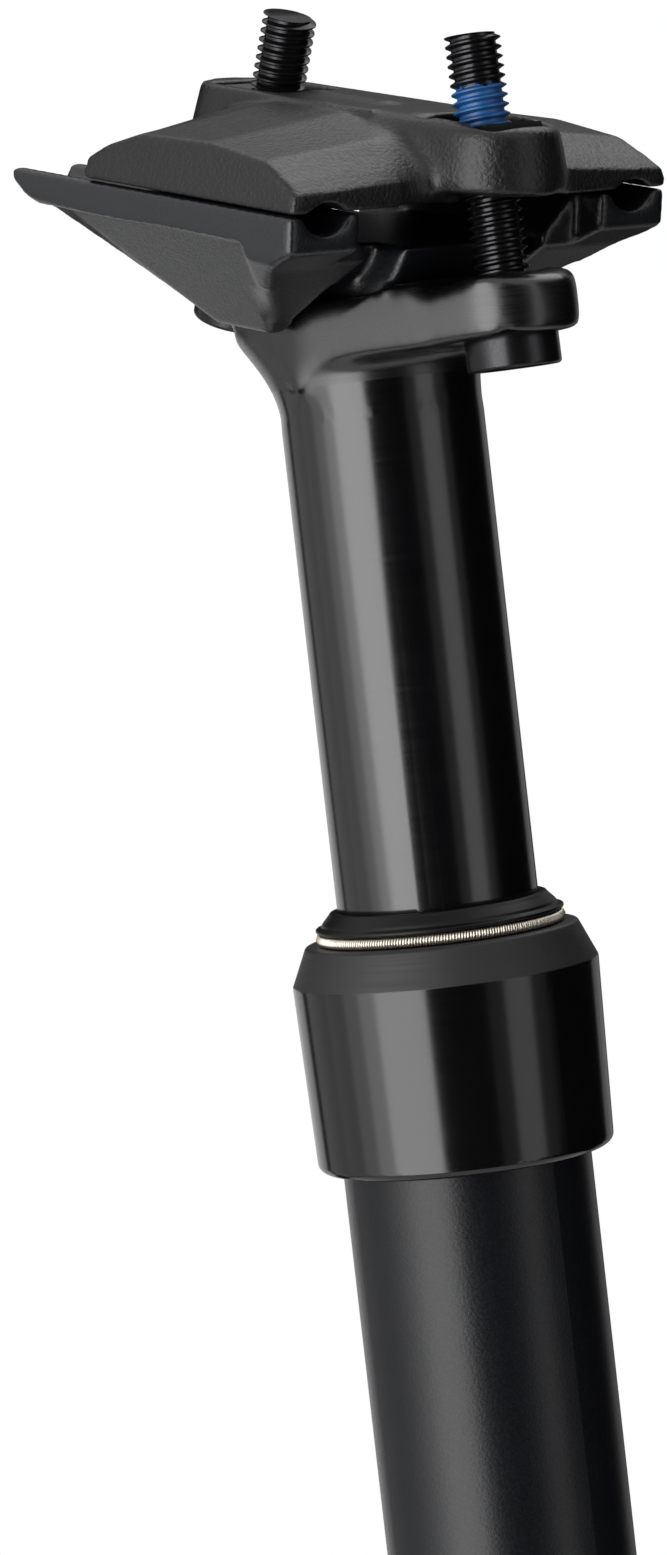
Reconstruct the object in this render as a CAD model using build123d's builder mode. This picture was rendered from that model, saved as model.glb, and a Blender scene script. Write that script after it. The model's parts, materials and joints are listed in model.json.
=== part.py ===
from build123d import *
import os
from math import atan2, cos, pi, radians, sin, sqrt, tan

# Dropper seatpost, 27.2 mm, one shared frame in millimetres.
# Origin: on the post's axis, at the collar's underside, the shoulder that stops on the frame.
# +Z runs up the post, +X towards the front of the bike, +Y to its left side.
# Everything is drawn fully extended, as it stands with nobody on the saddle.

os.makedirs("parts", exist_ok=True)

# Driving sizes
post_diameter = 27.2
post_length = 350.0
travel = 50.0
stanchion_diameter = 22.0
stanchion_wall = 1.8
stanchion_insertion = 110.0
rail_diameter = 7.0
rail_spacing = 44.0

# Fits and clearances
running_fit = 0.05
seat_fit = 0.02
soft_gap = 0.05
bolt_play = 0.4
bolt_head_gap = 0.2
nut_play = 0.1
overrun = 1.0

post_radius = post_diameter / 2
stanchion_radius = stanchion_diameter / 2
stanchion_bore_radius = stanchion_radius - stanchion_wall
rail_radius = rail_diameter / 2


def tube_at(outer_radius, inner_radius, bottom, top):
    """Makes a plain tube on the post's axis between two heights."""
    with BuildPart() as made:
        with BuildSketch(Plane.XY.offset(bottom)):
            Circle(outer_radius)
            Circle(inner_radius, mode=Mode.SUBTRACT)
        extrude(amount=top - bottom)
    return made.part


def ring_at(centre_radius, section_radius, height):
    """Makes a round-section ring on the post's axis."""
    with BuildPart() as made:
        with BuildSketch(Plane.XZ):
            with Locations((centre_radius, height)):
                Circle(section_radius)
        revolve(axis=Axis.Z)
    return made.part


# Collar, which screws onto the lower tube and carries the seals
collar_height = 24.6
collar_chamfer_height = 4.2
collar_bottom_diameter = 32.4
collar_shoulder_diameter = 33.5
collar_face_diameter = 29.8
collar_bottom_round = 1.0
collar_edge_round = 0.5
skirt_height = 2.6
tube_neck_step = 0.2
wiper_pocket_depth = 4.2
thread_diameter = 26.2
bushing_height = 9.8
bushing_wall = 1.55
guard_flange_height = 1.4
guard_flange_gap = 0.4
o_ring_section = 0.9
o_ring_groove_play = 0.3

collar_bottom_radius = collar_bottom_diameter / 2
collar_shoulder_radius = collar_shoulder_diameter / 2
collar_face_radius = collar_face_diameter / 2
tube_neck_radius = post_radius - tube_neck_step
skirt_radius = tube_neck_radius + running_fit
thread_radius = thread_diameter / 2
bushing_radius = stanchion_radius + running_fit + bushing_wall
collar_shoulder_height = collar_height - collar_chamfer_height
pocket_floor = collar_height - wiper_pocket_depth
bushing_top = pocket_floor - guard_flange_height
thread_top = bushing_top - bushing_height
guard_bore_radius = stanchion_radius + guard_flange_gap

# Wiper and its garter spring, above the collar's face
garter_diameter = 27.2
garter_coil_diameter = 1.0
garter_wire_diameter = 0.3
garter_curls = 100
garter_end_gap_share = 1.0
wiper_lip_diameter = 27.2
wiper_lip_height = 1.0
wiper_top_height = 3.5
wiper_top_wall = 0.25
wiper_cone_wall = 1.0
wiper_body_wall = 2.1
wiper_relief = 0.3
wiper_lip_round = 0.3

garter_coil_radius = garter_coil_diameter / 2
garter_ring_radius = garter_diameter / 2 - garter_coil_radius
garter_height = collar_height + garter_coil_radius + soft_gap
garter_wire_radius = garter_wire_diameter / 2
garter_curl_radius = garter_coil_radius - garter_wire_radius
wiper_bore_radius = stanchion_radius + running_fit
wiper_pocket_radius = wiper_bore_radius + wiper_body_wall
wiper_lip_radius = wiper_lip_diameter / 2
wiper_lip_bottom = garter_height + garter_coil_radius + soft_gap
wiper_lip_top = wiper_lip_bottom + wiper_lip_height
wiper_top = collar_height + wiper_top_height

# Stanchion, measured upwards from the collar's underside
bottom_out_gap = 2.4
crown_thickness = 4.5
neck_height = wiper_top + travel + bottom_out_gap
stanchion_bottom = -stanchion_insertion
stanchion_bore_top = neck_height - crown_thickness

# Saddle clamp: where the rails lie, which is also its tilt axis, and how clamp and head lean forward
rail_forward = 3.0
rail_rise = 24.6
head_lean_angle = 11.6
clamp_lean_angle = 12.9
bolt_splay_angle = 13.1
bolt_spread = 36.9
cup_diameter = 29.0
ear_rise = 3.1
swivel_drop = 17.0

rail_height = neck_height + rail_rise
rail_point = Vector(rail_forward, 0, rail_height)
cup_radius = cup_diameter / 2
foot_bottom = rail_height - post_length


def leaning(origin, lean):
    """Gives a plane whose normal leans forward from +Z by some degrees."""
    turn = radians(lean)
    return Plane(origin=origin, x_dir=(cos(turn), 0, -sin(turn)), z_dir=(sin(turn), 0, cos(turn)))


def side_of(plane):
    """Gives the side view of a plane: x forward, y along its normal."""
    return Plane(origin=plane.origin, x_dir=plane.x_dir, z_dir=-plane.y_dir)


def front_of(plane):
    """Gives the front view of a plane: x to the left, y along its normal."""
    return Plane(origin=plane.origin, x_dir=plane.y_dir, z_dir=plane.x_dir)


clamp_top = leaning(rail_point, clamp_lean_angle)
clamp_side = side_of(clamp_top)
clamp_front = front_of(clamp_top)
head_top = leaning(rail_point, head_lean_angle)
head_side = side_of(head_top)

# Each bolt swivels about a point under its ear; ends are +1 at the front and -1 at the rear
ends = {"front": 1, "rear": -1}
swivel_points = {}
bolt_planes = {}
for name, end in ends.items():
    lean = head_lean_angle - end * bolt_splay_angle
    at_rail = head_top.from_local_coords(Vector(end * bolt_spread / 2, 0, 0))
    along = Vector(sin(radians(lean)), 0, cos(radians(lean)))
    swivel_points[name] = at_rail - along * swivel_drop
    bolt_planes[name] = leaning(swivel_points[name], lean)

# Lower tube
tube_wall = 1.4
key_count = 4
key_first_angle = 45
key_diameter = 2.2
key_length = 12.0
key_gap = 0.5
foot_flange_height = 18.0
foot_spigot_height = 12.0

bore_radius = post_radius - tube_wall
tube_bottom = foot_bottom + foot_flange_height
key_radius = key_diameter / 2
key_circle_radius = (stanchion_radius + bore_radius) / 2
lower_bushing_height = 10.0
lower_bushing_depth = 0.5
lower_bushing_offset = 2.0
lower_bushing_slit = 1.0
lower_bushing_bottom = stanchion_bottom + lower_bushing_offset
lower_bushing_top = lower_bushing_bottom + lower_bushing_height
key_bottom = lower_bushing_top + lower_bushing_offset
key_top = key_bottom + key_length
o_ring_groove_radius = skirt_radius - o_ring_section
o_ring_height = skirt_height / 2

with BuildPart() as lower_tube:
    with BuildSketch(Plane.XY.offset(tube_bottom)):
        Circle(post_radius)
        Circle(bore_radius, mode=Mode.SUBTRACT)
    extrude(amount=thread_top - tube_bottom)
    with BuildSketch(Plane.XY):
        Circle(post_radius + overrun)
        Circle(tube_neck_radius, mode=Mode.SUBTRACT)
    extrude(amount=skirt_height, mode=Mode.SUBTRACT)
    with BuildSketch(Plane.XY.offset(skirt_height)):
        Circle(post_radius + overrun)
        Circle(thread_radius - seat_fit, mode=Mode.SUBTRACT)
    extrude(amount=thread_top - skirt_height, mode=Mode.SUBTRACT)
    with BuildSketch(Plane.XY.offset(o_ring_height - (o_ring_section + o_ring_groove_play) / 2)):
        Circle(post_radius + overrun)
        Circle(o_ring_groove_radius, mode=Mode.SUBTRACT)
    extrude(amount=o_ring_section + o_ring_groove_play, mode=Mode.SUBTRACT)
    with BuildSketch(Plane.XY.offset(tube_bottom)):
        with PolarLocations(key_circle_radius, key_count, key_first_angle):
            Circle(key_radius + running_fit)
    extrude(amount=key_top + key_gap - tube_bottom, mode=Mode.SUBTRACT)
lower_tube.part.label = "lower_tube"
export_step(lower_tube.part, "parts/lower_tube.step")

with BuildPart() as collar:
    with BuildSketch(Plane.XZ):
        with BuildLine():
            Polyline(
                (skirt_radius, 0),
                (collar_bottom_radius, 0),
                (collar_shoulder_radius, collar_shoulder_height),
                (collar_face_radius, collar_height),
                (wiper_pocket_radius + seat_fit, collar_height),
                (wiper_pocket_radius + seat_fit, pocket_floor),
                (guard_bore_radius, pocket_floor),
                (guard_bore_radius, bushing_top),
                (bushing_radius + seat_fit, bushing_top),
                (bushing_radius + seat_fit, thread_top),
                (thread_radius, thread_top),
                (thread_radius, skirt_height),
                (skirt_radius, skirt_height),
                close=True,
            )
        make_face()
    revolve(axis=Axis.Z)
    rims = collar.edges().filter_by(GeomType.CIRCLE)
    fillet(rims.filter_by(lambda e: abs(e.radius - collar_bottom_radius) < seat_fit), collar_bottom_round)
    rims = collar.edges().filter_by(GeomType.CIRCLE)
    fillet(rims.filter_by(lambda e: abs(e.radius - collar_shoulder_radius) < seat_fit), collar_edge_round)
    rims = collar.edges().filter_by(GeomType.CIRCLE)
    fillet(rims.filter_by(lambda e: abs(e.radius - collar_face_radius) < seat_fit), collar_edge_round)
collar.part.label = "collar"
export_step(collar.part, "parts/collar.step")

collar_o_ring = ring_at(skirt_radius - o_ring_section / 2, o_ring_section / 2 - seat_fit, o_ring_height)
collar_o_ring.label = "collar_o_ring"
export_step(collar_o_ring, "parts/collar_o_ring.step")

upper_bushing = tube_at(bushing_radius, stanchion_radius + running_fit, thread_top, bushing_top)
upper_bushing.label = "upper_bushing"
export_step(upper_bushing, "parts/upper_bushing.step")

with BuildPart() as wiper_seal:
    with BuildSketch(Plane.XZ):
        with BuildLine():
            Polyline(
                (wiper_bore_radius + wiper_relief, pocket_floor),
                (wiper_pocket_radius, pocket_floor),
                (wiper_pocket_radius, collar_height),
                (garter_ring_radius, collar_height),
                (wiper_lip_radius, wiper_lip_bottom),
                (wiper_lip_radius, wiper_lip_top),
                (wiper_bore_radius + wiper_cone_wall, wiper_lip_top),
                (wiper_bore_radius + wiper_top_wall, wiper_top),
                (wiper_bore_radius, wiper_top),
                (wiper_bore_radius, wiper_lip_bottom),
                (wiper_bore_radius + wiper_relief, collar_height),
                close=True,
            )
        make_face()
        with Locations((garter_ring_radius, garter_height)):
            Circle(garter_coil_radius + soft_gap, mode=Mode.SUBTRACT)
    revolve(axis=Axis.Z)
    rims = wiper_seal.edges().filter_by(GeomType.CIRCLE)
    lip_rims = rims.filter_by(lambda e: abs(e.radius - wiper_lip_radius) < seat_fit)
    fillet(lip_rims, wiper_lip_round)
wiper_seal.part.label = "wiper_seal"
export_step(wiper_seal.part, "parts/wiper_seal.step")


def garter_point(share):
    """Gives a point on the garter spring's wire, by its share of the whole wire."""
    sweep_angle = 2 * pi * (1 - garter_end_gap_share / garter_curls)
    around = sweep_angle * share
    curl = 2 * pi * garter_curls * share
    reach = garter_ring_radius + garter_curl_radius * cos(curl)
    return Vector(reach * cos(around), reach * sin(around), garter_height + garter_curl_radius * sin(curl))


def garter_heading(share):
    """Gives the wire's direction there."""
    small_share = 0.001 / garter_curls
    return (garter_point(share + small_share) - garter_point(share - small_share)).normalized()


def biarc(start, start_heading, finish, finish_heading):
    """Gives two arcs, each by three points, that join two points along their headings."""
    chord = finish - start
    spread = start_heading + finish_heading
    a = 2 * (start_heading.dot(finish_heading) - 1)
    b = -2 * chord.dot(spread)
    c = chord.dot(chord)
    reach = (-b - sqrt(b * b - 4 * a * c)) / (2 * a)
    corner_one = start + start_heading * reach
    corner_two = finish - finish_heading * reach
    joint = (corner_one + corner_two) * 0.5
    arcs = []
    for first, corner, last in ((start, corner_one, joint), (joint, corner_two, finish)):
        middle = (first + last) * 0.5
        half = (last - first).length / 2
        rise = corner - middle
        bend = atan2(rise.length, half)
        arcs.append((first, middle + rise.normalized() * half * tan(bend / 2), last))
    return arcs


half_turns = 2 * garter_curls
with BuildPart() as garter_spring:
    with BuildLine() as wire_line:
        for step in range(half_turns):
            here = step / half_turns
            there = (step + 1) / half_turns
            arcs = biarc(garter_point(here), garter_heading(here), garter_point(there), garter_heading(there))
            for arc_points in arcs:
                ThreePointArc(*arc_points)
    with BuildSketch(Plane(origin=garter_point(0), z_dir=garter_heading(0))):
        Circle(garter_wire_radius)
    sweep()
garter_spring.part.label = "garter_spring"
export_step(garter_spring.part, "parts/garter_spring.step")

# The spring's least gap to itself, on points of its wire
samples_per_curl = 24
wire_points = [garter_point(i / (garter_curls * samples_per_curl)) for i in range(6 * samples_per_curl)]
least_gap = min(
    (wire_points[i] - wire_points[j]).length
    for i in range(len(wire_points))
    for j in range(i + samples_per_curl // 2, len(wire_points))
)
end_gap = (garter_point(0) - garter_point(1)).length
print("garter spring least gap", round(min(least_gap, end_gap) - garter_wire_diameter, 3), "mm")

# Head, forged in one with the stanchion: a neck, a cup for the cradle and two ears for the bolts
head_half_width = 12.2
ear_end_radius = 7.4
ear_thickness = 7.0
ear_dip = 1.0
ear_tip_drop = 1.2
ear_slot_reach = 0.8
cheek_reach = 14.6
cheek_arc_radius = 32.2
cheek_depth = 10.8
cup_half_width = 8.3
flare_height = 7.7
washer_radius = 6.2
washer_half_width = 5.2
washer_flat_height = 4.2
bolt_diameter = 6.0
bolt_root_share = 0.82
bolt_length = 31.0
bolt_head_diameter = 10.0
bolt_head_height = 4.0
bolt_head_round = 0.4
socket_width = 4.0
socket_depth = 2.4
bolt_tip_chamfer = 0.5

bolt_radius = bolt_diameter / 2
bolt_head_radius = bolt_head_diameter / 2
bolt_half_spread = bolt_spread / 2
flare_shares = {
    "bottom": (0.0, 1.0, 1.0, 0.0),
    "middle": (0.45, 1.02, 1.01, -0.02),
    "upper": (0.9, 1.15, 1.07, -0.10),
    "top": (1.43, 1.38, 1.11, -0.27),
}

cheek_centre = head_top.from_local_coords(Vector(0, 0, cheek_arc_radius - cheek_depth))

with BuildPart() as stanchion:
    # The flange in side view: cup arc, rims, and an ear at each end
    with BuildSketch(Plane.XZ) as flange_side:
        for name, end in ends.items():
            plane = side_of(bolt_planes[name])
            x_dir = plane.x_dir
            up = plane.y_dir
            low = swivel_points[name] + up * ear_rise
            inner = low - x_dir * (end * bolt_half_spread)
            outer = low + x_dir * (end * ear_end_radius)
            crest = outer + up * (ear_thickness - ear_tip_drop)
            tip = low + x_dir * (end * ear_end_radius / 2) + up * ear_thickness
            dip = low - x_dir * (end * ear_end_radius / 2) + up * (ear_thickness - ear_dip)
            rim_drop = cheek_depth - cheek_arc_radius + sqrt(cheek_arc_radius**2 - cheek_reach**2)
            rim = head_top.from_local_coords(Vector(end * cheek_reach, 0, -rim_drop))
            hub = head_top.from_local_coords(Vector(0, 0, -cheek_depth))
            base = Vector(0, 0, neck_height + flare_height / 2)
            with BuildLine():
                Polyline(
                    *[(p.X, p.Z) for p in (base, inner, low, outer, crest, tip, dip, rim, hub)], close=True
                )
            make_face()
        with Locations((cheek_centre.X, cheek_centre.Z)):
            Circle(cheek_arc_radius, mode=Mode.SUBTRACT)
    extrude(amount=2 * head_half_width, both=True)
    # The same flange from above: a round body that narrows to each ear
    with BuildSketch(Plane.XY.offset(neck_height)) as flange_plan:
        Circle(head_half_width)
        for name, end in ends.items():
            with Locations((swivel_points[name].X, 0)):
                Circle(ear_end_radius)
        make_hull()
    extrude(amount=rail_rise, mode=Mode.INTERSECT)
    # The neck, which flares from the tube into the flange
    for share in flare_shares.values():
        rise_share, long_share, wide_share, shift_share = share
        flare_plane = Plane.XY.offset(neck_height + flare_height * rise_share)
        with BuildSketch(flare_plane):
            with Locations((stanchion_radius * shift_share, 0)):
                Ellipse(stanchion_radius * long_share, stanchion_radius * wide_share)
    loft()
    with BuildSketch(side_of(leaning(cheek_centre, head_lean_angle))):
        Circle(cheek_arc_radius)
    extrude(amount=2 * head_half_width, both=True, mode=Mode.SUBTRACT)
    with BuildSketch(head_side):
        Circle(cup_radius)
    extrude(amount=cup_half_width, both=True, mode=Mode.SUBTRACT)
    # The tube below, bored from its lower end
    with BuildSketch(Plane.XY.offset(stanchion_bottom)):
        Circle(stanchion_radius)
    extrude(amount=neck_height - stanchion_bottom)
    with BuildSketch(Plane.XY.offset(stanchion_bottom)):
        Circle(stanchion_bore_radius)
    extrude(amount=stanchion_bore_top - stanchion_bottom, mode=Mode.SUBTRACT)
    # Groove for the lower bushing and pockets for the keys
    with BuildSketch(Plane.XY.offset(lower_bushing_bottom)):
        Circle(stanchion_radius + overrun)
        Circle(stanchion_radius - lower_bushing_depth, mode=Mode.SUBTRACT)
    extrude(amount=lower_bushing_height, mode=Mode.SUBTRACT)
    with BuildSketch(Plane.XY.offset(key_bottom)):
        with PolarLocations(key_circle_radius, key_count, key_first_angle):
            Circle(key_radius + seat_fit)
    extrude(amount=key_length, mode=Mode.SUBTRACT)
    # In each ear: the bolt's hole, the head's recess and the washer's rounded seat
    for name, end in ends.items():
        plane = bolt_planes[name]
        with BuildSketch(plane):
            SlotOverall(2 * (bolt_radius + bolt_play + ear_slot_reach), 2 * (bolt_radius + bolt_play))
        extrude(amount=bolt_length, mode=Mode.SUBTRACT)
        with BuildSketch(plane):
            Circle(bolt_head_radius + bolt_play)
        extrude(amount=washer_flat_height + bolt_play, mode=Mode.SUBTRACT)
        with BuildSketch(side_of(plane)):
            Circle(washer_radius + running_fit)
        extrude(amount=washer_half_width + running_fit, both=True, mode=Mode.SUBTRACT)
stanchion.part.label = "stanchion"
export_step(stanchion.part, "parts/stanchion.step")

# Guide keys and the split bushing on the stanchion's lower end
with BuildPart() as guide_keys:
    with BuildSketch(Plane.XY.offset(key_bottom)):
        with PolarLocations(key_circle_radius, key_count, key_first_angle):
            Circle(key_radius)
    extrude(amount=key_length)
guide_keys.part.label = "guide_keys"
export_step(guide_keys.part, "parts/guide_keys.step")

with BuildPart() as lower_bushing:
    with BuildSketch(Plane.XY.offset(lower_bushing_bottom)):
        Circle(bore_radius - running_fit)
        Circle(stanchion_radius - lower_bushing_depth + seat_fit, mode=Mode.SUBTRACT)
        with Locations((-bore_radius, 0)):
            Rectangle(bore_radius, lower_bushing_slit, mode=Mode.SUBTRACT)
    extrude(amount=lower_bushing_height)
lower_bushing.part.label = "lower_bushing"
export_step(lower_bushing.part, "parts/lower_bushing.step")

# Half-round washers and the clamp bolts
for name, end in ends.items():
    plane = bolt_planes[name]
    with BuildPart() as washer:
        with BuildSketch(side_of(plane)):
            Circle(washer_radius)
        extrude(amount=washer_half_width, both=True)
        split(bisect_by=plane.offset(washer_flat_height), keep=Keep.TOP)
        with BuildSketch(plane):
            Circle(bolt_radius + running_fit)
        extrude(amount=bolt_length, mode=Mode.SUBTRACT)
    washer.part.label = f"{name}_washer"
    export_step(washer.part, f"parts/{name}_washer.step")

    head_top_height = washer_flat_height - bolt_head_gap
    head_bottom = head_top_height - bolt_head_height
    with BuildPart() as bolt:
        with BuildSketch(plane.offset(head_bottom)):
            Circle(bolt_head_radius)
        extrude(amount=bolt_head_height)
        rims = bolt.edges().filter_by(GeomType.CIRCLE).sort_by(Axis(plane.origin, plane.z_dir))
        fillet(rims[0], bolt_head_round)
        with BuildSketch(plane.offset(head_top_height)):
            Circle(bolt_radius * bolt_root_share)
        extrude(amount=bolt_length)
        rims = bolt.edges().filter_by(GeomType.CIRCLE).sort_by(Axis(plane.origin, plane.z_dir))
        chamfer(rims[-1], bolt_tip_chamfer)
        with BuildSketch(plane.offset(head_bottom)):
            RegularPolygon(socket_width / 2, 6, major_radius=False)
        extrude(amount=socket_depth, mode=Mode.SUBTRACT)
    bolt.part.label = f"{name}_bolt"
    export_step(bolt.part, f"parts/{name}_bolt.step")

# Lower cradle: a round underside that sits in the head's cup, and a long wing for each rail
mating_height = 0.65
wing_front = 17.0
wing_rear = 29.0
wing_half_width = 27.0
groove_depth = 2.15
cradle_gap = 0.1
cradle_floor = 4.0
keel_side_gap = 0.6
keel_width = 2.4
keel_front = 0.5
nose_share = 0.42
nose_reach = 12.2
keel_rear = 8.0
wing_band_height = 5.1
wing_tip_band = 1.3
facet_tip_band = 2.4
nose_band = 3.9
keel_height = 15.0
bridge_gap = 0.6
cup_side_gap = 0.2
groove_wall = 1.5
web_front = 13.0
web_rear = 17.0
ridge_rise = 1.0
ridge_front = 18.5
ridge_rear = 24.0

cradle_radius = cup_radius - cradle_gap
bridge_radius = cheek_depth - bridge_gap
keel_bottom = mating_height - keel_height
rail_centre = rail_spacing / 2
groove_centre_height = mating_height - groove_depth + rail_radius
groove_half_chord = sqrt(rail_radius**2 - (rail_radius - groove_depth) ** 2)
groove_inner = rail_centre - groove_half_chord
channel_inner = groove_inner - groove_wall
keel_inner = head_half_width + keel_side_gap
keel_outer = keel_inner + keel_width
wing_length = wing_front + wing_rear
wing_middle = (wing_front - wing_rear) / 2
web_length = web_front + web_rear
web_middle = (web_front - web_rear) / 2
wing_underside = mating_height - wing_band_height


def in_clamp(forward, left, up):
    """Gives a point of the clamp's own frame in the post's frame."""
    return clamp_top.from_local_coords(Vector(forward, left, up))


def facet_through(first, second, third, side):
    """Gives the plane through three points of the clamp's frame, facing away to one side."""
    a, b, c = (in_clamp(*point) for point in (first, second, third))
    normal = (b - a).cross(c - a)
    facing = 1 if normal.Y * side > 0 else -1
    return Plane(origin=a, x_dir=b - a, z_dir=normal * facing)


with BuildPart() as lower_cradle:
    # One side's section along the rail, then its mirror image
    with BuildSketch(clamp_front.offset(-wing_rear)):
        with BuildLine():
            Polyline(
                (keel_inner, keel_bottom),
                (keel_outer, keel_bottom),
                (wing_half_width, wing_underside),
                (wing_half_width, mating_height),
                (channel_inner, mating_height),
                (keel_inner, -cradle_floor),
                close=True,
            )
        make_face()
        mirror(about=Plane.YZ)
    extrude(amount=wing_length)
    # The side view, a V that comes down to a short keel
    with BuildSketch(clamp_side):
        with BuildLine():
            Polyline(
                (-wing_rear, mating_height),
                (wing_front, mating_height),
                (wing_front, mating_height - nose_band),
                (nose_reach, mating_height - nose_share * keel_height),
                (keel_front, keel_bottom),
                (-keel_rear, keel_bottom),
                (-wing_rear, mating_height - wing_tip_band),
                close=True,
            )
        make_face()
    extrude(amount=2 * wing_half_width, both=True, mode=Mode.INTERSECT)
    # The plan view: a channel for each rail and the webs between them
    with BuildSketch(clamp_top.offset(-2 * keel_height)):
        for side in (1, -1):
            with Locations((wing_middle, side * (wing_half_width + channel_inner) / 2)):
                Rectangle(wing_length, wing_half_width - channel_inner)
        with Locations((web_middle, 0)):
            Rectangle(web_length, 2 * wing_half_width - groove_wall)
    extrude(amount=4 * keel_height, mode=Mode.INTERSECT)
    # The sloping facet under each wing's outer band
    for side in (1, -1):
        tip = (-wing_rear, side * wing_half_width, mating_height - facet_tip_band)
        nose = (wing_front, side * wing_half_width, wing_underside)
        keel = (-keel_rear, side * keel_outer, keel_bottom)
        split(bisect_by=facet_through(tip, nose, keel, side), keep=Keep.BOTTOM)
    # The round middle, which turns in the cup, and the bridge over the cup's cheeks
    for round_radius, half_width in (
        (cradle_radius, cup_half_width - cup_side_gap),
        (bridge_radius, keel_inner),
    ):
        with BuildSketch(clamp_side):
            Circle(round_radius)
            with Locations((0, -cradle_floor)):
                Rectangle(
                    4 * round_radius, 2 * round_radius, align=(Align.CENTER, Align.MIN), mode=Mode.SUBTRACT
                )
        extrude(amount=half_width, both=True)
    # The groove's inner wall stands up behind the upper clamp
    ridge_middle = -(ridge_front + ridge_rear) / 2
    with BuildSketch(clamp_top.offset(mating_height)):
        for side in (1, -1):
            with Locations((ridge_middle, side * (channel_inner + groove_inner) / 2)):
                Rectangle(ridge_rear - ridge_front, groove_wall)
    extrude(amount=ridge_rise)
    # Rail grooves
    with BuildSketch(clamp_front.offset(-wing_rear - overrun)):
        for side in (1, -1):
            with Locations((side * rail_centre, groove_centre_height)):
                Circle(rail_radius)
    extrude(amount=wing_length + 2 * overrun, mode=Mode.SUBTRACT)
lower_cradle.part.label = "lower_cradle"
export_step(lower_cradle.part, "parts/lower_cradle.step")

# Upper clamp: two wings that fall away from a raised spine, whose bosses hold the nuts
mating_gap = 0.2
upper_groove_depth = 1.05
upper_length = 34.0
upper_rear = 16.8
end_facet_lean = 1.4
end_facet_height = 5.3
spine_height = 9.5
spine_front = 25.0
spine_rear = 25.8
spine_half_width = 6.4
spine_draft_angle = 12.0
spine_base_height = 2.2
nut_radius = 4.8
nut_half_length = 4.0
nut_flat_height = 1.7
nut_height = 6.7
nut_pocket_length = 11.2
nut_pocket_round = 0.8
bolt_slot_reach = 0.8
end_profile_shares = (
    (0.0, 0.0),
    (0.0, 0.33),
    (0.08, 0.62),
    (0.23, 0.95),
    (0.55, 1.0),
    (0.82, 0.85),
    (0.94, 0.54),
    (1.0, 0.33),
    (1.0, 0.0),
)
root_profile_shares = (
    (0.0, 0.0),
    (0.0, 0.88),
    (0.08, 0.95),
    (0.23, 1.0),
    (0.55, 1.0),
    (0.82, 0.82),
    (0.94, 0.52),
    (1.0, 0.36),
    (1.0, 0.0),
)
end_height = 5.4
root_height = 9.0

upper_base = mating_height + mating_gap
upper_groove_centre = upper_base + upper_groove_depth - rail_radius


def wing_profile(shares, height):
    """Gives an upper wing's outline in side view, from shares of its length and height."""
    return [(upper_length * along - upper_rear, upper_base + height * rise) for along, rise in shares]


nut_planes = {}
for name, plane in bolt_planes.items():
    swivel = clamp_top.to_local_coords(swivel_points[name])
    rise = clamp_top.to_local_coords(swivel_points[name] + plane.z_dir) - swivel
    nut_planes[name] = plane.offset((nut_height - swivel.Z) / rise.Z)

with BuildPart() as upper_clamp:
    for side in (1, -1):
        with BuildSketch(clamp_side.offset(-side * (wing_half_width + overrun))):
            with BuildLine():
                Polyline(*wing_profile(end_profile_shares, end_height), close=True)
            make_face()
        with BuildSketch(clamp_side):
            with BuildLine():
                Polyline(*wing_profile(root_profile_shares, root_height), close=True)
            make_face()
        loft(ruled=True)
        low = (0, side * wing_half_width, upper_base)
        along = (upper_length, side * wing_half_width, upper_base)
        high = (0, side * (wing_half_width - end_facet_lean), upper_base + end_facet_height)
        split(bisect_by=facet_through(low, along, high, side), keep=Keep.BOTTOM)
    # Spine, wider towards its foot
    with BuildSketch(clamp_top.offset(spine_height)):
        with Locations(((spine_front - spine_rear) / 2, 0)):
            SlotOverall(spine_front + spine_rear, 2 * spine_half_width)
    extrude(amount=-(spine_height - spine_base_height), taper=-spine_draft_angle)
    # Rail grooves
    with BuildSketch(clamp_front.offset(-upper_rear - spine_rear)):
        for side in (1, -1):
            with Locations((side * rail_centre, upper_groove_centre)):
                Circle(rail_radius)
    extrude(amount=4 * spine_rear, mode=Mode.SUBTRACT)
    # Pockets for the nuts and slots for the bolts
    for name, end in ends.items():
        plane = nut_planes[name]
        centre = clamp_top.to_local_coords(plane.origin)
        with BuildSketch(clamp_top.offset(nut_height)):
            with Locations((centre.X, 0)):
                RectangleRounded(nut_pocket_length, 2 * (nut_half_length + bolt_play), nut_pocket_round)
        extrude(amount=spine_height, mode=Mode.SUBTRACT)
        with BuildSketch(side_of(plane)):
            Circle(nut_radius + running_fit)
        extrude(amount=nut_half_length + bolt_play, both=True, mode=Mode.SUBTRACT)
        with BuildSketch(plane):
            SlotOverall(2 * (bolt_radius + bolt_play + bolt_slot_reach), 2 * (bolt_radius + bolt_play))
        extrude(amount=-2 * nut_radius, mode=Mode.SUBTRACT)
upper_clamp.part.label = "upper_clamp"
export_step(upper_clamp.part, "parts/upper_clamp.step")

# Half-round nuts, which turn in their pockets as the saddle tilts
for name, plane in nut_planes.items():
    with BuildPart() as nut:
        with BuildSketch(side_of(plane)):
            Circle(nut_radius)
        extrude(amount=nut_half_length, both=True)
        split(bisect_by=plane.offset(nut_flat_height), keep=Keep.BOTTOM)
        with BuildSketch(plane.offset(-2 * nut_radius)):
            Circle(bolt_radius + nut_play)
        extrude(amount=4 * nut_radius, mode=Mode.SUBTRACT)
    nut.part.label = f"{name}_nut"
    export_step(nut.part, f"parts/{name}_nut.step")

# Gas cartridge inside the stanchion
cartridge_diameter = 16.8
cartridge_wall = 0.8
cartridge_cap_thickness = 4.0
cartridge_pad_thickness = 2.0
seal_head_height = 12.0
retainer_height = 5.0
retainer_offset = 2.0
retainer_bore_radius = 6.0
rod_diameter = 8.0
rod_bore_diameter = 2.4
piston_height = 8.0
piston_top_out_gap = 2.0
piston_ring_height = 2.0
floating_piston_height = 9.0
floating_piston_gap = 60.0
floating_piston_recess = 3.0
guard_ring_depth = 0.9

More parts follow.
